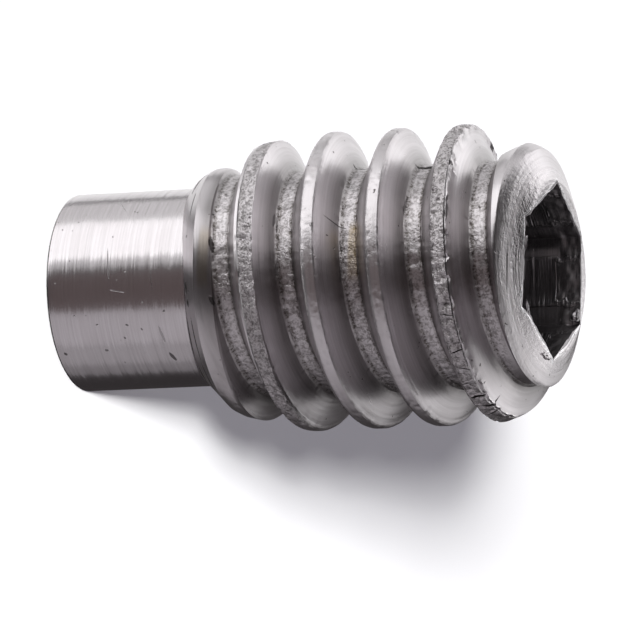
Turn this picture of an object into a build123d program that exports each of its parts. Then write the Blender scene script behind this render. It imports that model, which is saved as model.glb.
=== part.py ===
from build123d import *
from math import ceil, radians, sqrt, tan
import os

# Grub set screw with a full dog point and a hexagon socket, number 10-24 by 5/16 inch.
# It stands on the flat tip of its dog point, which is the origin. +Z runs up the axis to the
# socket. All lengths are in millimetres and all angles in degrees.

# Overall sizes
overall_length = 7.94
major_diameter = 4.68

# Dog point: the plain turned end that bears on the shaft
dog_diameter = 3.13
dog_length = 2.14
dog_edge_break = 0.05
dog_root_fillet = 0.07

# Thread: 24 to the inch, right-handed, 60 degree form with flat crests and flat roots
thread_pitch = 25.4 / 24
thread_angle = 60
thread_depth = 0.595
crest_width = 0.21
first_crest_height = 2.303      # above the tip, where the crest crosses +X

# Lead-in: the thread grows from the shoulder of the dog to full height on a bulged cone
lead_in_length = 1.65
lead_in_bulge = 0.13

# Socket end: a shallow cone round the mouth, then a bulged cone out to the crests
end_ring_diameter = 3.60
end_ring_drop = 0.17
crown_length = 0.86
crown_bulge = 0.095

# Hexagon socket for a 3/32 inch key: a drilled hole, broached to six flats
socket_across_flats = 2.39
socket_depth = 2.60
socket_turn = -6.7              # from +X to the first corner
drill_oversize = 0.10           # the drill is this much wider than the flats
drill_runout = 0.55             # full drill depth below the broached flats
drill_point_angle = 118

# Helpers for clean cuts: how far a tool shape runs past the metal that it trims
overrun = 0.05

major_radius = major_diameter / 2
root_radius = major_radius - thread_depth
dog_radius = dog_diameter / 2
end_ring_radius = end_ring_diameter / 2
drill_radius = (socket_across_flats + drill_oversize) / 2
socket_corner_radius = socket_across_flats / sqrt(3)
flank_slope = tan(radians(thread_angle / 2))


def turned(outline, largest_radius):
    """A solid of revolution about Z, from outline pieces drawn as (radius, height). It is turned
    down to the largest radius wherever a bulge would stand out past it."""
    face = make_face(Curve() + outline)
    height = face.bounding_box().size.Y + 2 * overrun
    middle = face.bounding_box().center().Y
    stock = Pos(0, middle) * Rectangle(2 * largest_radius, height)
    return revolve(Plane.XZ * (face & stock), Axis.Z)


def dog_point():
    """The plain dog, with a broken edge at the tip. It runs a little way up into the body."""
    top = dog_length + overrun
    return turned([
        Polyline(
            (0, top),
            (0, 0),
            (dog_radius - dog_edge_break, 0),
            (dog_radius, dog_edge_break),
            (dog_radius, top),
            (0, top),
        )
    ], dog_radius)


def threaded_blank():
    """The outside of the threaded length before the thread is cut: lead-in, body and crown."""
    fillet_start = dog_length - dog_root_fillet
    shoulder_radius = dog_radius + dog_root_fillet
    full_thread_start = dog_length + lead_in_length
    ring_height = overall_length - end_ring_drop
    full_thread_end = ring_height - crown_length
    return turned([
        Line((0, fillet_start), (dog_radius, fillet_start)),
        RadiusArc((dog_radius, fillet_start), (shoulder_radius, dog_length), dog_root_fillet),
        SagittaArc(
            (shoulder_radius, dog_length), (major_radius, full_thread_start), -lead_in_bulge
        ),
        Line((major_radius, full_thread_start), (major_radius, full_thread_end)),
        SagittaArc((major_radius, full_thread_end), (end_ring_radius, ring_height), -crown_bulge),
        Polyline(
            (end_ring_radius, ring_height),
            (socket_corner_radius, overall_length),
            (0, overall_length),
            (0, fillet_start),
        ),
    ], major_radius)


def core():
    """The cylinder at the bottom of the thread groove, under the whole threaded length."""
    height = overall_length - dog_length + dog_root_fillet + 2 * overrun
    base = Plane.XY.offset(dog_length - dog_root_fillet - overrun)
    return extrude(base * Circle(root_radius), height)


def thread_ridge():
    """The ridge of the thread, one turn of helix after another, past both ends of the blank."""
    inner = root_radius - overrun
    outer = major_radius + overrun
    root_half = crest_width / 2 + thread_depth * flank_slope
    outer_half = crest_width / 2 + (major_radius - outer) * flank_slope
    turns_below = ceil((first_crest_height - dog_length) / thread_pitch) + 1
    turns_above = ceil((overall_length - first_crest_height) / thread_pitch) + 1
    start = first_crest_height - turns_below * thread_pitch
    one_turn = Helix(pitch=thread_pitch, height=thread_pitch, radius=major_radius)
    path = Wire([
        Pos(0, 0, start + turn * thread_pitch) * one_turn.edge()
        for turn in range(turns_below + turns_above)
    ])
    section = Polyline(
        (inner, start - root_half),
        (inner, start + root_half),
        (root_radius, start + root_half),
        (outer, start + outer_half),
        (outer, start - outer_half),
        (root_radius, start - root_half),
        (inner, start - root_half),
    )
    return sweep(Plane.XZ * make_face(section), path, is_frenet=True)


def socket():
    """The space of the socket: broached hexagon, drilled hole and its conical bottom."""
    flats_floor = overall_length - socket_depth
    drill_floor = flats_floor - drill_runout
    point_height = drill_radius / tan(radians(drill_point_angle / 2))
    top = overall_length + overrun
    hexagon = RegularPolygon(socket_corner_radius, 6, rotation=socket_turn)
    broached = extrude(Plane.XY.offset(flats_floor) * hexagon, socket_depth + overrun)
    drilled = turned([
        Polyline(
            (0, drill_floor - point_height),
            (drill_radius, drill_floor),
            (drill_radius, top),
            (0, top),
            (0, drill_floor - point_height),
        )
    ], drill_radius)
    return broached + drilled


def grub_screw():
    """The whole screw, one piece of metal."""
    threaded = (core() + thread_ridge()) & threaded_blank()
    return dog_point() + threaded - socket()


os.makedirs("parts", exist_ok=True)
export_step(grub_screw(), "parts/grub_screw.step")
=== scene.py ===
from math import atan2, cos, hypot, pi, radians, sin, sqrt, tan
from types import SimpleNamespace

import bpy
from mathutils import Matrix, Vector, kdtree, noise


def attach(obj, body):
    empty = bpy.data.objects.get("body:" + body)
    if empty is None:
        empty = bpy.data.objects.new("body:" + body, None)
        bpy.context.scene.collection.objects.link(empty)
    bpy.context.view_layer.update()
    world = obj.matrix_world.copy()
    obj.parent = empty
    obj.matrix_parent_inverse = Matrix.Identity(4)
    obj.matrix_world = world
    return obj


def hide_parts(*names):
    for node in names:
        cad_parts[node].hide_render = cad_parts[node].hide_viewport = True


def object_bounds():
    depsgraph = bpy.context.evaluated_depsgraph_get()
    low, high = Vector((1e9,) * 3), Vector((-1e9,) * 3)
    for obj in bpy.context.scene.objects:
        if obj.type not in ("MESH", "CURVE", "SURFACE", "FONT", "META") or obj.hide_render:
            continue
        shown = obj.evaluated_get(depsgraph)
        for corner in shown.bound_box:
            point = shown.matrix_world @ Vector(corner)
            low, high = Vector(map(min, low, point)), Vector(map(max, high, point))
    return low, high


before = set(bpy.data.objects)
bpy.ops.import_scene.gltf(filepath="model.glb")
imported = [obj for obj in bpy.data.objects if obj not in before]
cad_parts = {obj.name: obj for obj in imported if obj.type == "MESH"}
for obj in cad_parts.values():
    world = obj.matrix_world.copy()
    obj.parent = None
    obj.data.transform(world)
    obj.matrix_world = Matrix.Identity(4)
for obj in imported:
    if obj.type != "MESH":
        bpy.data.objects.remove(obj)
cad_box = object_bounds()

# The screw is modelled in millimetres, standing on the tip of its dog with +Z up its axis, and
# brought to metres at the end. Radii are from the axis, heights from the tip.
MM = 0.001
LENGTH = (cad_box[1][2] - cad_box[0][2]) / MM
CREST_RADIUS = (cad_box[1][0] - cad_box[0][0]) / MM / 2
SCREW_MIDDLE = Vector((0, 0, LENGTH / 2 * MM))

# Thread
PITCH = 25.4 / 24
ROOT_RADIUS = 1.745
CREST_HEIGHT = 2.333            # height of the middle of the first crest over +X
CREST_LEFT = -0.132             # edges of the crest and feet of the flanks, along the axis
CREST_RIGHT = 0.058
LEFT_FOOT = -0.488
RIGHT_FOOT = 0.345
CREST_EDGE = 0.045              # how far the edges of the crest are rounded
FOOT_SUNK = 0.12                # how far the foot of the ridge is buried in the core
STEPS_PER_TURN = 360

# Worn stretches of the crests, in turns above the first crest
FIFTH_TORN = (3.90, 4.42)
FIFTH_LIP = (3.90, 4.47)
SECOND_TORN = (0.92, 1.40)
FIFTH_SCRAPED = (3.88, 4.47)
SECOND_SCRAPED = (0.92, 1.42)

# Dog point
DOG_RADIUS = 1.565
TIP_BREAK = 0.05
DOG_TOP = 2.25                  # buried under the shoulder

# The turned outline of the threaded length, as (radius, height), over +X, +Y, -X and -Y. The
# shoulder is slanted and the socket end is worn lower on the +Y side.
BLANK_FOOT = ((0, 1.80), (1.50, 1.80))
LEAD_IN = (
    ((1.50, 2.00), (1.60, 2.09), (1.736, 2.21), (1.80, 2.32), (1.861, 2.453), (1.865, 2.55),
     (1.80, 2.72), (1.90, 2.87), (2.13, 3.02), (2.23, 3.30), (2.34, 4.10)),
    ((1.50, 2.26), (1.575, 2.34), (1.71, 2.44), (1.85, 2.55), (1.975, 2.65), (1.90, 2.74),
     (1.79, 2.88), (1.95, 3.14), (2.15, 3.26), (2.22, 3.60), (2.35, 4.20)),
    ((1.50, 2.14), (1.58, 2.22), (1.75, 2.40), (1.90, 2.55), (2.026, 2.676), (2.09, 2.80),
     (2.115, 2.90), (2.139, 3.00), (2.22, 3.25), (2.30, 3.55), (2.37, 4.10)),
    ((1.50, 2.06), (1.58, 2.14), (1.70, 2.28), (1.82, 2.42), (1.93, 2.56), (1.97, 2.68),
     (1.98, 2.80), (2.04, 2.95), (2.13, 3.15), (2.25, 3.45), (2.36, 4.15)),
)
CROWN = (
    ((2.25, 6.98), (1.90, 7.14), (1.86, 7.25), (1.94, 7.42), (2.00, 7.58), (1.96, 7.68),
     (1.90, 7.77), (1.66, 7.86), (1.42, LENGTH)),
    ((2.32, 6.98), (2.24, 7.12), (2.16, 7.32), (2.06, 7.50), (2.00, 7.57), (1.93, 7.60),
     (1.80, 7.64), (1.50, 7.71), (1.22, 7.79)),
    ((2.31, 6.98), (2.263, 7.107), (2.156, 7.37), (2.04, 7.49), (1.93, 7.58), (1.85, 7.66),
     (1.775, 7.745), (1.60, 7.80), (1.38, 7.87)),
    ((2.31, 6.98), (2.24, 7.12), (2.15, 7.36), (2.00, 7.58), (1.92, 7.68), (1.84, 7.74),
     (1.80, 7.77), (1.66, 7.84), (1.42, LENGTH)),
)
BODY = ((2.37, 4.40), (2.37, 6.75))
BLANK_TOP = ((0, 7.90),)

# Socket end
FLATS = 2.39
SOCKET_TURN = radians(-6.7)
SOCKET_DEPTH = 2.60
TORN_DEPTH = 0.38               # how deep the ragged mouth of the flats reaches
DRILL_RADIUS = 1.245
DRILL_DEPTH = 3.15
DRILL_HALF_ANGLE = radians(59)
DRILL_NECK = 0.07               # how far the drilled wall draws in under the mouth
CLEAR = 0.1                     # how far cutters and the core stand past the socket end

# Slivers that the broach left: degrees round, radius and height of the middle, half length and
# half thickness
SLIVERS = (
    (60, 1.27, 7.76, 0.17, 0.035), (74, 1.19, 7.77, 0.20, 0.032),
    (119, 1.24, 7.77, 0.15, 0.035), (160, 1.40, 7.84, 0.14, 0.045),
    (-124, 1.26, 7.87, 0.12, 0.060), (28, 1.26, 7.84, 0.16, 0.030),
)


def activate(piece):
    """Selects one object alone and makes it the active one."""
    bpy.ops.object.select_all(action="DESELECT")
    piece.select_set(True)
    bpy.context.view_layer.objects.active = piece


def named(name):
    """Names the object that an operator has just added."""
    piece = bpy.context.object
    piece.name = name
    piece.data.name = name
    return piece


def apply_modifier(piece, kind, **settings):
    """Adds one modifier with its settings and applies it."""
    activate(piece)
    modifier = piece.modifiers.new(kind.title(), kind)
    for key, value in settings.items():
        setattr(modifier, key, value)
    bpy.ops.object.modifier_apply(modifier=modifier.name)


def drawn(name, points, closed=False):
    """A line of edges in the XZ plane, pulled out point by point from one vertex."""
    bpy.ops.object.select_all(action="DESELECT")
    bpy.ops.mesh.primitive_plane_add(size=1, location=(0, 0, 0))
    line = named(name)
    bpy.ops.object.mode_set(mode="EDIT")
    bpy.ops.mesh.select_mode(type="VERT")
    bpy.ops.mesh.select_all(action="SELECT")
    bpy.ops.mesh.merge(type="CENTER")
    first = points[0]
    bpy.ops.transform.translate(value=(first[0], 0, first[1]))
    for here, there in zip(points, points[1:]):
        step = (there[0] - here[0], 0, there[1] - here[1])
        bpy.ops.mesh.extrude_region_move(TRANSFORM_OT_translate={"value": step})
    if closed:
        bpy.ops.mesh.select_all(action="SELECT")
        bpy.ops.mesh.remove_doubles(threshold=1e-4)
    bpy.ops.object.mode_set(mode="OBJECT")
    return line


def spaced(points, gap):
    """The same outline with more points, at most a gap apart."""
    dense = [points[0]]
    for (x0, z0), (x1, z1) in zip(points, points[1:]):
        count = max(1, round(hypot(x1 - x0, z1 - z0) / gap))
        for i in range(1, count + 1):
            dense.append((x0 + (x1 - x0) * i / count, z0 + (z1 - z0) * i / count))
    return dense


def arc(x, z, radius, start, end, count):
    """Points along an arc in the XZ plane, angles in degrees from +X."""
    turns = [radians(start + (end - start) * i / count) for i in range(count + 1)]
    return [(x + radius * cos(turn), z + radius * sin(turn)) for turn in turns]


def closed_ends(piece):
    """Fills the open ends of a swept piece and turns all its faces outwards."""
    activate(piece)
    bpy.ops.object.mode_set(mode="EDIT")
    bpy.ops.mesh.select_all(action="SELECT")
    bpy.ops.mesh.remove_doubles(threshold=1e-5)
    bpy.ops.mesh.select_all(action="DESELECT")
    bpy.ops.mesh.select_mode(type="EDGE")
    bpy.ops.mesh.select_non_manifold()
    bpy.ops.mesh.fill_holes(sides=0)
    bpy.ops.mesh.select_all(action="SELECT")
    bpy.ops.mesh.normals_make_consistent(inside=False)
    bpy.ops.object.mode_set(mode="OBJECT")


def combined(piece, other, operation):
    """Joins, cuts or intersects two closed solids, and removes the second."""
    apply_modifier(piece, "BOOLEAN", operation=operation, object=other, solver="MANIFOLD")
    bpy.data.objects.remove(other)
    return piece


def thread_ridge():
    """The ridge of the thread: one rounded section swept along the helix past both ends."""
    edge = CREST_EDGE
    left = [
        (ROOT_RADIUS - FOOT_SUNK, LEFT_FOOT + 0.02), (ROOT_RADIUS - 0.02, LEFT_FOOT - 0.03),
        (ROOT_RADIUS + 0.03, LEFT_FOOT + 0.035), (CREST_RADIUS - edge, CREST_LEFT - edge * 0.55),
    ]
    crest = [
        left[-1], (CREST_RADIUS - edge * 0.3, CREST_LEFT + edge * 0.2),
        (CREST_RADIUS, CREST_LEFT + edge), (CREST_RADIUS, CREST_RIGHT - edge * 0.8),
        (CREST_RADIUS - edge * 0.3, CREST_RIGHT), (CREST_RADIUS - edge, CREST_RIGHT + edge * 0.5),
    ]
    right = [
        crest[-1], (ROOT_RADIUS + 0.03, RIGHT_FOOT - 0.035),
        (ROOT_RADIUS - 0.02, RIGHT_FOOT + 0.03), (ROOT_RADIUS - FOOT_SUNK, RIGHT_FOOT - 0.02),
    ]
    flank_gap, crest_gap = 0.11, 0.03
    section = spaced(left, flank_gap) + spaced(crest, crest_gap)[1:] + spaced(right, flank_gap)[1:]
    section.append(section[0])
    base = CREST_HEIGHT - PITCH
    ridge = drawn("thread_ridge", [(x, z + base) for x, z in section], closed=True)
    apply_modifier(
        ridge, "SCREW", axis="Z", angle=2 * pi, screw_offset=PITCH, iterations=8,
        steps=STEPS_PER_TURN, render_steps=STEPS_PER_TURN, use_smooth_shade=True,
    )
    closed_ends(ridge)
    return ridge


def turned(name, points, gap):
    """A closed solid of revolution, from an outline that starts and ends on the axis."""
    solid = drawn(name, spaced(points, gap))
    apply_modifier(
        solid, "SCREW", axis="Z", angle=2 * pi, screw_offset=0, iterations=1,
        steps=STEPS_PER_TURN, render_steps=STEPS_PER_TURN, use_smooth_shade=True,
    )
    closed_ends(solid)
    return solid


def core():
    """The bar at the bottom of the thread groove."""
    low, high = 2.05, LENGTH + CLEAR
    return turned("core", [(0, low), (ROOT_RADIUS, low), (ROOT_RADIUS, high), (0, high)], 0.05)


def blank():
    """What the threaded length was turned to: shoulder, lead-in, body, crown and end ring.
    It is turned to the mean outline, then each point moves to the outline of its own side."""
    sides = [
        BLANK_FOOT + lead_in + BODY + crown + BLANK_TOP for lead_in, crown in zip(LEAD_IN, CROWN)
    ]
    # The largest gap between points on each stretch: foot, lead-in, body and crown
    gaps = (0.1, 1, *[0.045] * 10, 1, 1, 1, *[0.04] * 9)
    mean = []
    moves = []
    for i, gap in enumerate(gaps):
        ends = [[sum(side[j][k] for side in sides) / 4 for k in (0, 1)] for j in (i, i + 1)]
        count = max(1, round(hypot(ends[1][0] - ends[0][0], ends[1][1] - ends[0][1]) / gap))
        last = i == len(gaps) - 1
        for step in range(count + 1 if last else count):
            part = step / count
            mean.append([ends[0][k] + (ends[1][k] - ends[0][k]) * part for k in (0, 1)])
            moves.append([[side[i][k] + (side[i + 1][k] - side[i][k]) * part for k in (0, 1)]
                          for side in sides])
    solid = turned("blank", mean, 10)
    nearest = kdtree.KDTree(len(mean))
    for i, (x, z) in enumerate(mean):
        nearest.insert((x, 0, z), i)
    nearest.balance()
    for vertex in solid.data.vertices:
        x, y, z = vertex.co
        turn = atan2(y, x)
        here = moves[nearest.find((hypot(x, y), 0, z))[1]]
        shares = [max(0.0, cos(turn - side * pi / 2)) ** 2 for side in range(4)]
        radius, height = (sum(share * place[k] for share, place in zip(shares, here))
                          for k in (0, 1))
        vertex.co = (radius * cos(turn), radius * sin(turn), height)
    return solid


def dog():
    """The plain dog, with its tip edge broken."""
    outline = [(0, 0), (DOG_RADIUS - TIP_BREAK, 0)]
    outline += arc(DOG_RADIUS - TIP_BREAK, TIP_BREAK, TIP_BREAK, -60, 0, 3)
    outline += [(DOG_RADIUS, DOG_TOP + 0.2), (0, DOG_TOP)]
    return turned("dog", outline, 0.12)


def flats():
    """The space of the six broached flats. Their mouth is torn, so the cutter is ragged there."""
    rings, ring_height, rings_from, torn_by = 20, 0.035, 0.4, 0.022
    bpy.ops.object.select_all(action="DESELECT")
    bpy.ops.mesh.primitive_circle_add(
        vertices=6, radius=FLATS / sqrt(3), location=(0, 0, LENGTH - SOCKET_DEPTH),
        rotation=(0, 0, SOCKET_TURN - pi / 2),
    )
    hexagon = named("socket_hexagon")
    bpy.ops.object.transform_apply(location=True, rotation=True, scale=True)
    bpy.ops.object.mode_set(mode="EDIT")
    bpy.ops.mesh.select_mode(type="EDGE")
    bpy.ops.mesh.select_all(action="SELECT")
    bpy.ops.mesh.subdivide(number_cuts=31)
    for rise in [SOCKET_DEPTH - rings_from] + [ring_height] * rings:
        bpy.ops.mesh.extrude_region_move(TRANSFORM_OT_translate={"value": (0, 0, rise)})
    bpy.ops.object.mode_set(mode="OBJECT")
    closed_ends(hexagon)
    for vertex in hexagon.data.vertices:
        x, y, z = vertex.co
        if z < LENGTH - TORN_DEPTH:
            continue
        torn = noise.noise(Vector((x, y, z)) * 5) + 0.7 * noise.noise(Vector((x, y, z)) * 14)
        vertex.co.x, vertex.co.y = x * (1 + torn_by * torn), y * (1 + torn_by * torn)
    return hexagon


def drilled():
    """The space of the drilled hole, a little wider than the flats and drawn in at its mouth."""
    floor = LENGTH - DRILL_DEPTH
    neck = DRILL_RADIUS - DRILL_NECK
    top = LENGTH + CLEAR
    outline = [
        (0, floor - DRILL_RADIUS / tan(DRILL_HALF_ANGLE)), (DRILL_RADIUS, floor),
        (DRILL_RADIUS, LENGTH - 0.45), (neck, LENGTH - 0.30), (neck, top), (0, top),
    ]
    return turned("drill", outline, 0.12)


def chips():
    """Slivers of metal that the broach left standing round the mouth, as one mesh each."""
    made = []
    for degrees_round, radius, height, long, thick in SLIVERS:
        turn = radians(degrees_round)
        bpy.ops.object.select_all(action="DESELECT")
        bpy.ops.mesh.primitive_ico_sphere_add(subdivisions=4, radius=1, location=(0, 0, 0))
        chip = named("chip")
        for vertex in chip.data.vertices:
            ragged = 1 + 0.45 * noise.noise(vertex.co * 1.7 + Vector((degrees_round, 0, 0)))
            vertex.co = vertex.co * ragged
        tilt = 0.25 * sin(degrees_round)        # only to differ from sliver to sliver
        chip.scale = (thick, long, thick * 1.2)
        chip.rotation_euler = (tilt, 0, turn)
        chip.location = (radius * cos(turn), radius * sin(turn), height)
        activate(chip)
        bpy.ops.object.transform_apply(location=True, rotation=True, scale=True)
        made.append(chip)
    return made


def smooth(low, high, value):
    """0 below low, 1 above high, and a smooth step between."""
    part = min(1.0, max(0.0, (value - low) / (high - low)))
    return part * part * (3 - 2 * part)


def between(low, high, value, soft):
    """1 from low to high, falling to 0 over a soft stretch outside each."""
    return smooth(low - soft, low, value) * (1 - smooth(high, high + soft, value))


def wear(piece):
    """Tears the crests that were scraped in use, and roughens the roots of the thread."""
    bite_depth, nick_depth, root_relief = 0.055, 0.04, 0.009
    for vertex in piece.data.vertices:
        x, y, z = vertex.co
        radius = hypot(x, y)
        vertex.co.z = min(LENGTH, z)
        if radius < 1.60 or z < 2.5:
            continue
        turn = atan2(y, x)
        laps = (z - CREST_HEIGHT) / PITCH - turn / (2 * pi)
        offset = (laps - round(laps)) * PITCH
        place = (z - offset - CREST_HEIGHT) / PITCH
        spot = Vector((x, y, z))
        coarse, fine = noise.noise(spot * 7), noise.noise(spot * 15 + Vector((7, 0, 0)))
        on_crest = between(-0.13, 0.07, offset, 0.06) * smooth(1.95, 2.1, radius)
        torn = between(*FIFTH_TORN, place, 0.10) + 0.75 * between(*SECOND_TORN, place, 0.08)
        bite = max(0.0, coarse + 0.6 * fine + 0.05) * bite_depth
        nick = max(0.0, fine - 0.25) * nick_depth
        sunk = on_crest * (torn * bite + nick)
        if z < 7.3:
            in_root = smooth(0.30, 0.36, abs(offset + 0.07)) * (1 - smooth(1.76, 1.80, radius))
            sunk += in_root * root_relief * (coarse + fine)
        vertex.co.x -= sunk * cos(turn)
        vertex.co.y -= sunk * sin(turn)
        lip = between(*FIFTH_LIP, place, 0.08) * smooth(-0.06, 0.06, offset) * on_crest
        vertex.co.z = min(LENGTH, z + lip * (0.055 + 0.03 * coarse))


def grub_screw():
    """The whole screw, one piece."""
    body = combined(core(), thread_ridge(), "UNION")
    body = combined(body, blank(), "INTERSECT")
    body = combined(body, dog(), "UNION")
    body = combined(body, combined(flats(), drilled(), "UNION"), "DIFFERENCE")
    for chip in chips():
        body = combined(body, chip, "UNION")
    wear(body)
    body.name = "grub_screw_worn"
    body.data.name = "grub_screw_worn"
    return body


def finished(piece):
    """Brings a piece from millimetres to metres, with its place in its mesh."""
    activate(piece)
    piece.scale = (MM, MM, MM)
    bpy.ops.object.transform_apply(location=True, rotation=True, scale=True)
    bpy.ops.object.shade_smooth_by_angle(angle=radians(33))


class Value:
    """A number that changes over the surface. Sums on it add their Math nodes."""

    def __init__(self, bench, socket):
        self.bench = bench
        self.socket = socket

    def math(self, operation, *others, clamp=False):
        """One Math node on this number and others."""
        settings = {"operation": operation, "use_clamp": clamp}
        sockets = dict(enumerate((self, *others)))
        return self.bench.node("ShaderNodeMath", settings, sockets)

    def __add__(self, other):
        return self.math("ADD", other)

    def __sub__(self, other):
        return self.math("SUBTRACT", other)

    def __mul__(self, other):
        return self.math("MULTIPLY", other)

    def __truediv__(self, other):
        return self.math("DIVIDE", other)

    def __rsub__(self, other):
        return self.bench.number(other).math("SUBTRACT", self)

    __radd__ = __add__
    __rmul__ = __mul__

    def step(self, low, high):
        """0 below low, 1 above high and smooth between."""
        settings = {"interpolation_type": "SMOOTHSTEP"}
        sockets = {"Value": self, "From Min": low, "From Max": high}
        return self.bench.node("ShaderNodeMapRange", settings, sockets)

    def band(self, low, high, soft):
        """1 from low to high, and 0 beyond a soft stretch on each side."""
        return self.step(low - soft, low) * (1 - self.step(high, high + soft))


class Bench:
    """Where one node tree is put together."""

    def __init__(self, tree):
        self.tree = tree

    def node(self, kind, settings=None, sockets=None, output=0):
        """Adds a node: its type, its settings, then what its sockets hold or are fed by."""
        made = self.tree.nodes.new(kind)
        for key, value in (settings or {}).items():
            setattr(made, key, value)
        for key, value in (sockets or {}).items():
            self.feed(made.inputs[key], value)
        return Value(self, made.outputs[output])

    def feed(self, socket, value):
        """Links a number that changes to a socket, or sets a constant on it."""
        if isinstance(value, Value):
            self.tree.links.new(value.socket, socket)
        else:
            socket.default_value = value

    def number(self, value):
        """A constant as a node, for sums that start from it."""
        made = self.node("ShaderNodeValue")
        made.socket.default_value = value
        return made

    def vector(self, x, y, z):
        """Three numbers as a vector."""
        return self.node("ShaderNodeCombineXYZ", None, {"X": x, "Y": y, "Z": z})

    def noise(self, vector, scale, detail=2.0, roughness=0.5):
        """Soft noise, about 0 to 1 round a middle of 0.5."""
        sockets = {"Vector": vector, "Scale": scale, "Detail": detail, "Roughness": roughness}
        return self.node("ShaderNodeTexNoise", None, sockets)

    def mix(self, share, first, second):
        """The first colour where the share is 0, the second where it is 1."""
        settings = {"data_type": "RGBA"}
        sockets = {"Factor": share, "A": first, "B": second}
        return self.node("ShaderNodeMix", settings, sockets, output="Result")


# Marks on the dog: degrees round the axis and height of the middle, half length, half width, lean
# in degrees from the axis towards the round, and how dark each is
DOG_MARKS = (
    (75, 1.05, 0.26, 0.013, 84, 0.45), (91, 1.21, 0.13, 0.008, 12, 0.35),
    (110, 0.81, 0.022, 0.014, 0, 0.6), (111, 1.31, 0.026, 0.016, 30, 0.7),
    (119, 1.23, 0.022, 0.014, 60, 0.6), (127, 0.87, 0.034, 0.020, 10, 0.6),
    (98, 1.62, 0.016, 0.012, 0, 0.5), (104, 0.45, 0.016, 0.012, 0, 0.5),
    (118, 1.86, 0.16, 0.022, 80, 0.30), (134, 1.93, 0.10, 0.030, 70, 0.75),
    (84, 1.78, 0.22, 0.008, 86, 0.25), (33, 1.08, 0.24, 0.008, 55, 0.25),
)

# Gaps, splits and stains: degrees round, height, half length, half width, lean, how dark
SPLITS = (
    (91, 2.40, 0.10, 0.026, 88, 1.0), (99, 2.43, 0.06, 0.026, 88, 1.0),
    (122, 2.33, 0.46, 0.018, 93, 1.0), (152, 2.31, 0.34, 0.018, 94, 1.0),
    (118, 2.49, 0.36, 0.016, 88, 1.0), (146, 2.50, 0.42, 0.018, 88, 1.0),
    (18, 2.33, 0.46, 0.026, 94, 1.0), (45, 2.42, 0.24, 0.014, 90, 0.8),
    (106, 6.87, 0.10, 0.010, 10, 0.9), (121, 6.92, 0.11, 0.012, -15, 1.0),
    (129, 6.94, 0.11, 0.010, 20, 0.9), (146, 7.00, 0.12, 0.014, 5, 1.0),
    (154, 7.08, 0.13, 0.016, 30, 1.0), (161, 7.04, 0.10, 0.012, -10, 0.9),
    (88, 7.67, 0.46, 0.006, 91, 0.65), (62, 7.66, 0.18, 0.006, 86, 0.5),
    (63, 4.93, 0.13, 0.012, 15, 0.6),
    (74, 5.00, 0.12, 0.012, 80, 0.5), (60, 3.90, 0.16, 0.014, 84, 0.5),
    (70, 2.86, 0.16, 0.030, 80, 0.8), (98, 2.88, 0.10, 0.034, 70, 0.7),
)

# Packed dirt that stays in the root of the thread, in the same terms
ROOT_DIRT = (
    (10, 4.93, 0.22, 0.040, 2, 0.9), (16, 6.06, 0.22, 0.080, 4, 1.0),
    (58, 3.86, 0.14, 0.020, 88, 0.5), (52, 5.98, 0.22, 0.018, 88, 0.5),
    (88, 5.02, 0.16, 0.020, 88, 0.5), (84, 3.96, 0.14, 0.022, 88, 0.5),
    (96, 6.14, 0.16, 0.022, 88, 0.5),
)

# Colours
DULL_STEEL = (0.60, 0.565, 0.580, 1)
BRIGHT_STEEL = (0.70, 0.675, 0.695, 1)
LINE_STEEL = (0.30, 0.28, 0.28, 1)
GROOVE_GRIME_AND_SHADE = (0.12, 0.11, 0.105, 1)
ROOT_FILM_AND_CREASE_SHADE = (0.10, 0.088, 0.078, 1)
TORN_FILM = (0.10, 0.09, 0.085, 1)
TAN_STAIN = (0.40, 0.29, 0.13, 1)
PIT_BLACK = (0.05, 0.042, 0.04, 1)
RIM_PAINTED_HIGHLIGHT = (0.86, 0.85, 0.87, 1)
RIM_BLACK = (0.03, 0.025, 0.025, 1)
MARK_AND_EDGE_SHADE_BLACK = (0.022, 0.018, 0.018, 1)
SOCKET_SHADE_GREY = (0.16, 0.155, 0.16, 1)
PALE_PAPER = (0.9, 0.9, 0.9, 1)

# Where one finish gives way to the next: where a mask starts and where it is full. Heights first,
# then radii.
THREAD_START = (2.55, 2.75)
THREAD_END = (7.40, 7.55)
RING_START = (7.52, 7.60)
SOCKET_FLOOR = (4.2, 4.3)
OUTER_SKIN = (1.42, 1.50)
PAST_DOG = (1.575, 1.60)
PAST_ROOT = (1.752, 1.790)
PAST_ROOT_DIRT = (1.80, 1.86)
PAST_GROOVE = (1.78, 2.12)


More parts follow.
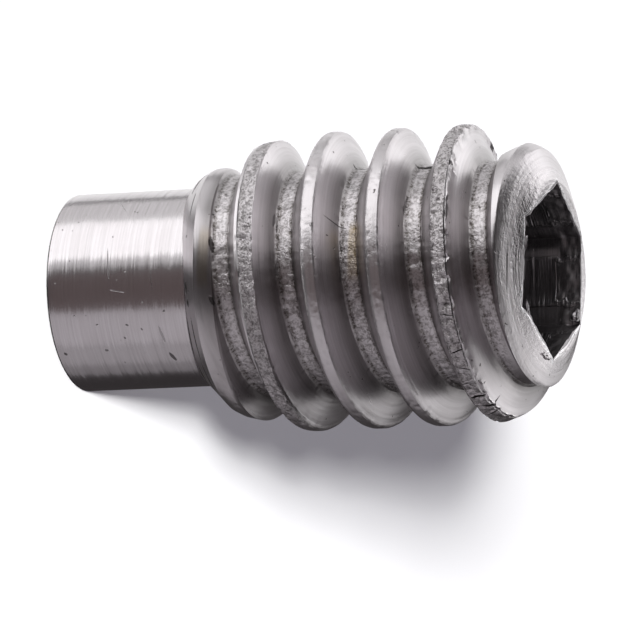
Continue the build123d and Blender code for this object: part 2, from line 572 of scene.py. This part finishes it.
def surface(bench):
    """Where a point of the screw is, and masks for the kinds of surface, each from 0 to 1."""
    at = SimpleNamespace()
    place = bench.node("ShaderNodeTexCoord", output="Object")
    at.spot = bench.node("ShaderNodeVectorMath", {"operation": "SCALE"}, {0: place, "Scale": 1 / MM})
    split = bench.node("ShaderNodeSeparateXYZ", None, {0: at.spot})
    at.x, at.y, at.z = (Value(bench, split.socket.node.outputs[axis]) for axis in "XYZ")
    at.radius = (at.x * at.x + at.y * at.y).math("SQRT")
    at.turn = at.y.math("ARCTAN2", at.x)

    # Along the thread: from the nearest crest, that crest's number, and from the nearest ridge
    laps = (at.z - CREST_HEIGHT) / PITCH - at.turn / (2 * pi)
    at.offset = ((laps + 0.5).math("FRACT") - 0.5) * PITCH
    at.along = (at.z - at.offset - CREST_HEIGHT) / PITCH
    ridge_middle = (LEFT_FOOT + RIGHT_FOOT) / 2
    from_middle = ((laps - ridge_middle / PITCH + 0.5).math("FRACT") - 0.5) * PITCH
    at.from_ridge = from_middle.math("ABSOLUTE")

    at.threaded = at.z.step(*THREAD_START) * (1 - at.z.step(*THREAD_END))
    at.outside = at.radius.step(*OUTER_SKIN)
    at.on_dog = 1 - at.radius.step(*PAST_DOG)
    at.root = (1 - at.radius.step(*PAST_ROOT)) * at.threaded * at.outside
    at.crest = at.offset.band(-0.145, 0.075, 0.03) * at.radius.step(1.86, 2.05) * at.threaded
    scraped = at.along.band(*FIFTH_SCRAPED, 0.09) + at.along.band(*SECOND_SCRAPED, 0.08) * 0.9
    at.torn = at.crest * scraped

    at.hexagon_reach = bench.number(0)
    for side in range(3):
        facing = SOCKET_TURN + pi / 6 + side * pi / 3
        across = (at.x * cos(facing) + at.y * sin(facing)).math("ABSOLUTE")
        at.hexagon_reach = at.hexagon_reach.math("MAXIMUM", across)
    past_walls = at.hexagon_reach.step(1.20, 1.235) * at.radius.step(1.235, 1.26)
    at.in_socket = (1 - past_walls) * at.z.step(*SOCKET_FLOOR)
    at.bore = at.in_socket * (1 - at.radius.step(1.252, 1.262)) * at.radius.step(1.228, 1.238)
    at.end_ring = at.z.step(*RING_START) * (1 - at.in_socket)
    return at


def noises(bench, at):
    """Adds the noise that each finish is made of: turning lines, grain, grit and specks."""
    at.dog_lines = bench.noise(bench.vector(at.x * 0.6, at.y * 0.6, at.z * 30), 1.0, 3.0, 0.6)
    at.dog_fine = bench.noise(bench.vector(at.x * 2.0, at.y * 2.0, at.z * 70), 1.0, 1.0)
    flank_place = bench.vector(at.radius * 24, at.along * 6, at.offset * 4)
    at.flank_lines = bench.noise(flank_place, 1.0, 3.0, 0.6)
    at.ring_lines = bench.noise(bench.vector(at.radius * 20, at.x * 0.8, at.y * 0.8), 1.0, 3.0, 0.6)
    at.cloud = bench.noise(at.spot, 2.2, 3.0)
    at.grain = bench.noise(at.spot, 11.0, 4.0, 0.65)
    at.grit = bench.noise(at.spot, 27.0, 3.0, 0.6)
    at.pits = bench.noise(at.spot, 9.5, 1.0).step(0.755, 0.785) * 0.8
    at.dirt = (at.grain + at.grit).step(1.10, 0.82)


def blot(at, mark):
    """How dark one mark is here: an ellipse with a ragged edge."""
    degrees_round, height, long, wide, lean, dark = mark
    reach = DOG_RADIUS if height < 2.2 else 1.66 if height < 2.7 else 2.0
    sideways = (at.turn - radians(degrees_round)) * reach
    rise = at.z - height
    tilt = radians(lean)
    down = (rise * cos(tilt) + sideways * sin(tilt)) / long
    across = (sideways * cos(tilt) - rise * sin(tilt)) / wide
    spread = (down * down + across * across) + (at.grit - 0.5) * 1.3
    return (1 - spread.step(0.55, 1.25)) * dark


def blots(bench, at):
    """Adds all the marks together, the darkest where they cross."""
    at.marks = bench.number(0)
    for mark in DOG_MARKS + SPLITS:
        at.marks = at.marks.math("MAXIMUM", blot(at, mark))
    in_groove = 1 - at.radius.step(*PAST_ROOT_DIRT)
    for mark in ROOT_DIRT:
        at.marks = at.marks.math("MAXIMUM", blot(at, mark) * in_groove)
    at.marks = at.marks * (1 - at.in_socket)


def colour(bench, at):
    """Steel, streaked by the turning lines, with dirt, stains, marks, painted shade and a painted
    highlight over it.
    """
    clean = bench.mix(at.cloud, DULL_STEEL, BRIGHT_STEEL)
    streaks = at.on_dog * (at.dog_lines - 0.5) * 0.55
    streaks = streaks + (1 - at.on_dog) * (at.flank_lines - 0.5) * 0.9
    streaks = streaks + at.end_ring * (at.ring_lines - 0.5) * 0.6
    laid = bench.mix(streaks.math("ADD", 0.12, clamp=True), clean, LINE_STEEL)

    # The flanks darken towards the root: partly grime, partly painted shade in the recess of the
    # groove
    groove = (1 - at.radius.step(*PAST_GROOVE)) * at.threaded * at.outside * (1 - at.root)
    laid = bench.mix(groove * (0.30 + at.cloud * 0.5), laid, GROOVE_GRIME_AND_SHADE)
    # Real dirt patches in the root, plus painted shade in the creases where the root meets each flank
    root_crease_shade = at.root * (1 - at.from_ridge.step(0.43, 0.475))
    laid = bench.mix(at.root * at.dirt * 0.55 + root_crease_shade * 0.4, laid, ROOT_FILM_AND_CREASE_SHADE)
    laid = bench.mix(at.torn * at.dirt * 0.70, laid, TORN_FILM)
    tan_patch = at.turn.band(radians(66), radians(86), radians(8))
    tan_patch = tan_patch * (at.z.band(5.14, 5.24, 0.06) + at.z.band(2.72, 2.80, 0.05) * 0.6)
    laid = bench.mix(tan_patch * 0.4, laid, TAN_STAIN)
    laid = bench.mix(at.pits * (1 - at.in_socket), laid, PIT_BLACK)

    # Painted highlight: a pale band round the mouth of the socket, with real dark specks of grit over
    # it
    rim = at.hexagon_reach.band(1.19, 1.25, 0.025) * at.end_ring
    laid = bench.mix(rim * 0.8, laid, RIM_PAINTED_HIGHLIGHT)
    laid = bench.mix(rim * at.grit.step(0.56, 0.66) * 0.85, laid, RIM_BLACK)
    # Painted shade: a dark line along the broken edge of the tip; the real marks share its colour
    tip_edge_shade = 1 - at.z.step(0.025, 0.045)
    laid = bench.mix(at.marks.math("MAXIMUM", tip_edge_shade * 0.8), laid, MARK_AND_EDGE_SHADE_BLACK)
    # Painted shade: the inside of the socket is darkened
    return bench.mix(at.in_socket * 0.45, laid, SOCKET_SHADE_GREY)


def roughness(at):
    """Smoothest on the dog, duller on the flanks, roots, tears, marks and in the socket."""
    rough = 0.215 + (at.dog_lines - 0.5) * 0.12
    rough = rough + (1 - at.on_dog) * 0.085 + at.root * 0.05 + at.torn * 0.06
    return rough + at.in_socket * 0.15 + at.marks * 0.25 + at.crest * 0.03


def relief(bench, at):
    """The height of the surface in millimetres."""
    height = at.on_dog * (at.dog_lines * 0.0012 + at.dog_fine * 0.0005)
    height = height + (1 - at.on_dog) * (1 - at.end_ring) * at.flank_lines * 0.0020
    height = height + at.end_ring * (at.ring_lines * 0.008 + at.grain * 0.010)
    patchy = bench.noise(at.spot, 1.9, 1.0).step(0.38, 0.62)
    height = height + at.root * (0.35 + 0.75 * patchy) * (at.grain * 0.022 + at.grit * 0.006)
    height = height + at.torn * (at.grain * 0.034 + at.grit * 0.010)
    height = height + at.crest * at.grain * 0.008
    tool_marks = bench.noise(bench.vector(at.x * 1.2, at.y * 1.2, at.z * 17), 1.0, 2.0)
    height = height + at.in_socket * (0.25 + at.bore) * tool_marks * 0.022
    return height - at.marks * 0.006 - at.pits * 0.006


def frayed(bench, at, normal):
    """Leans each turning line a little round the axis, which frays the edges of reflections."""
    lean = at.on_dog * (at.dog_lines - 0.5) * 0.11 + at.on_dog * (at.dog_fine - 0.5) * 0.08
    lean = lean + (1 - at.on_dog) * (at.flank_lines - 0.5) * 0.12
    tangent = bench.vector(at.y * -1.0 / at.radius * lean, at.x / at.radius * lean, 0.0)
    to_world = {"vector_type": "NORMAL", "convert_from": "OBJECT", "convert_to": "WORLD"}
    tangent = bench.node("ShaderNodeVectorTransform", to_world, {"Vector": tangent})
    # The transform gives a unit vector, so the amount of lean is put back
    tangent = bench.node("ShaderNodeVectorMath", {"operation": "SCALE"},
                         {0: tangent, "Scale": lean.math("ABSOLUTE")})
    leaned = bench.node("ShaderNodeVectorMath", {"operation": "ADD"}, {0: normal, 1: tangent})
    return bench.node("ShaderNodeVectorMath", {"operation": "NORMALIZE"}, {0: leaned})


def steel():
    """Bare turned steel: turning lines, dull rough roots, torn crests, pits, splits, dirt, painted
    shade and a painted highlight.
    """
    material = bpy.data.materials.new("bare_steel")
    material.use_nodes = True
    bench = Bench(material.node_tree)
    bsdf = material.node_tree.nodes["Principled BSDF"]
    at = surface(bench)
    noises(bench, at)
    blots(bench, at)
    bump = bench.node(
        "ShaderNodeBump", None,
        {"Strength": 1.0, "Distance": MM, "Height": relief(bench, at)}, output="Normal",
    )
    bench.feed(bsdf.inputs["Base Color"], colour(bench, at))
    bench.feed(bsdf.inputs["Roughness"], roughness(at))
    bench.feed(bsdf.inputs["Normal"], frayed(bench, at, bump))
    bsdf.inputs["Metallic"].default_value = 1
    return material


def camera():
    """Looks down a little on the standing screw, turned on its side so its axis runs across."""
    elevation, azimuth, roll = radians(20.17), radians(-0.91), radians(2.63)
    distance, aim = 100 * MM, Vector((-0.496, -1.274, 3.443)) * MM
    back = Vector((sin(azimuth) * cos(elevation), cos(azimuth) * cos(elevation), sin(elevation)))
    right = (Vector((0, 0, 1)) - back * sin(elevation)).normalized()
    up = back.cross(right)
    turn = Matrix((right, up, back)).transposed() @ Matrix.Rotation(-roll, 3, "Z")
    lens = bpy.data.cameras.new("camera")
    lens.lens = 358.75
    lens.clip_start = 0.005
    lens.clip_end = 5
    seat = bpy.data.objects.new("camera", lens)
    seat.matrix_world = Matrix.Translation(aim + back * distance) @ turn.to_4x4()
    bpy.context.scene.collection.objects.link(seat)
    bpy.context.scene.camera = seat


def card(name, azimuth, elevation, distance, width, length, radiance, tint=(1, 1, 1)):
    """A softbox that only the steel mirrors. Azimuth runs round the axis from +Y, the camera's
    side, towards +X. Width runs round the axis and length along it."""
    turn, rise = radians(azimuth), radians(elevation)
    away = Vector((sin(turn) * cos(rise), cos(turn) * cos(rise), sin(rise)))
    around = Vector((cos(turn), -sin(turn), 0))
    along = away.cross(around)
    lamp = bpy.data.lights.new(name, "AREA")
    lamp.shape = "RECTANGLE"
    lamp.size = width * MM
    lamp.size_y = length * MM
    lamp.energy = radiance * pi * lamp.size * lamp.size_y
    lamp.color = tint
    seat = bpy.data.objects.new(name, lamp)
    turned_to = Matrix((around, along, away)).transposed().to_4x4()
    seat.matrix_world = Matrix.Translation(SCREW_MIDDLE + away * distance * MM) @ turned_to
    seat.visible_camera = False
    seat.visible_diffuse = False
    bpy.context.scene.collection.objects.link(seat)


def softboxes():
    """What the steel mirrors: bright boxes on the +X side and behind, dimmer paper on the -X side."""
    warm, paper = (1, 0.74, 0.72), (1, 0.96, 1)
    card("key", 64, -10, 60, 52, 160, 1.55)
    card("key_edge", 35, -10, 60, 16, 160, 0.60)
    card("back_top", 108, -10, 70, 44, 160, 0.80)
    card("back", 158, -5, 70, 60, 160, 1.0)
    card("room", 0, 0, 80, 66, 120, 0.085, warm)
    card("paper_front", -44, 0, 50, 40, 160, 0.48, paper)
    card("paper_middle", -80, 0, 50, 24, 160, 0.36, paper)
    card("paper_low", -103, 0, 50, 17, 160, 0.21, paper)
    card("far_right", 146, 36, 70, 60, 40, 0.60)
    card("far_low", -128, 42, 70, 60, 44, 0.11)
    card("end_back", -157, 43, 9, 5.5, 5.5, 0.62)
    card("end_side", -132, 60, 9, 5, 5, 0.60)
    card("below", 180, -82, 50, 28, 28, 1.1)


def suns():
    """Two low soft lamps that throw the shadow and that the steel doesn't mirror."""
    for name, energy, spread, source in (
        ("window", 3.7, 4, (0.19, 2.42, 1.0)), ("lamp", 4.1, 6, (0.36, 2.45, 1.0)),
    ):
        sun = bpy.data.lights.new(name, "SUN")
        sun.energy = energy
        sun.angle = radians(spread)
        seat = bpy.data.objects.new(name, sun)
        seat.rotation_euler = Vector(source).to_track_quat("Z", "Y").to_euler()
        seat.visible_glossy = False
        bpy.context.scene.collection.objects.link(seat)


def room():
    """Soft grey light from all round on the floor, and near darkness in the steel."""
    floor_light, mirrored = (0.26, 0.25, 0.28, 1), (0.040, 0.036, 0.037, 1)
    world = bpy.context.scene.world or bpy.data.worlds.new("studio")
    bpy.context.scene.world = world
    world.use_nodes = True
    bench = Bench(world.node_tree)
    in_steel = bench.node("ShaderNodeLightPath", output="Is Glossy Ray")
    light = bench.mix(in_steel, floor_light, mirrored)
    bench.feed(world.node_tree.nodes["Background"].inputs["Color"], light)


def paper_floor():
    """A plain pale floor under the tip of the dog, which the steel doesn't mirror."""
    bpy.ops.object.select_all(action="DESELECT")
    bpy.ops.mesh.primitive_plane_add(size=0.6, location=(0, 0, 0))
    floor = named("floor")
    material = bpy.data.materials.new("pale_paper")
    material.use_nodes = True
    bsdf = material.node_tree.nodes["Principled BSDF"]
    bsdf.inputs["Base Color"].default_value = PALE_PAPER
    bsdf.inputs["Roughness"].default_value = 0.9
    bsdf.inputs["Specular IOR Level"].default_value = 0
    floor.data.materials.append(material)
    floor.visible_glossy = False
    floor.visible_shadow = False


screw = grub_screw()
finished(screw)
screw.data.materials.clear()
screw.data.materials.append(steel())
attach(screw, "root")
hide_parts("grub_screw")
camera()
paper_floor()
room()
suns()
softboxes()
bpy.context.scene.view_settings.view_transform = "Standard"
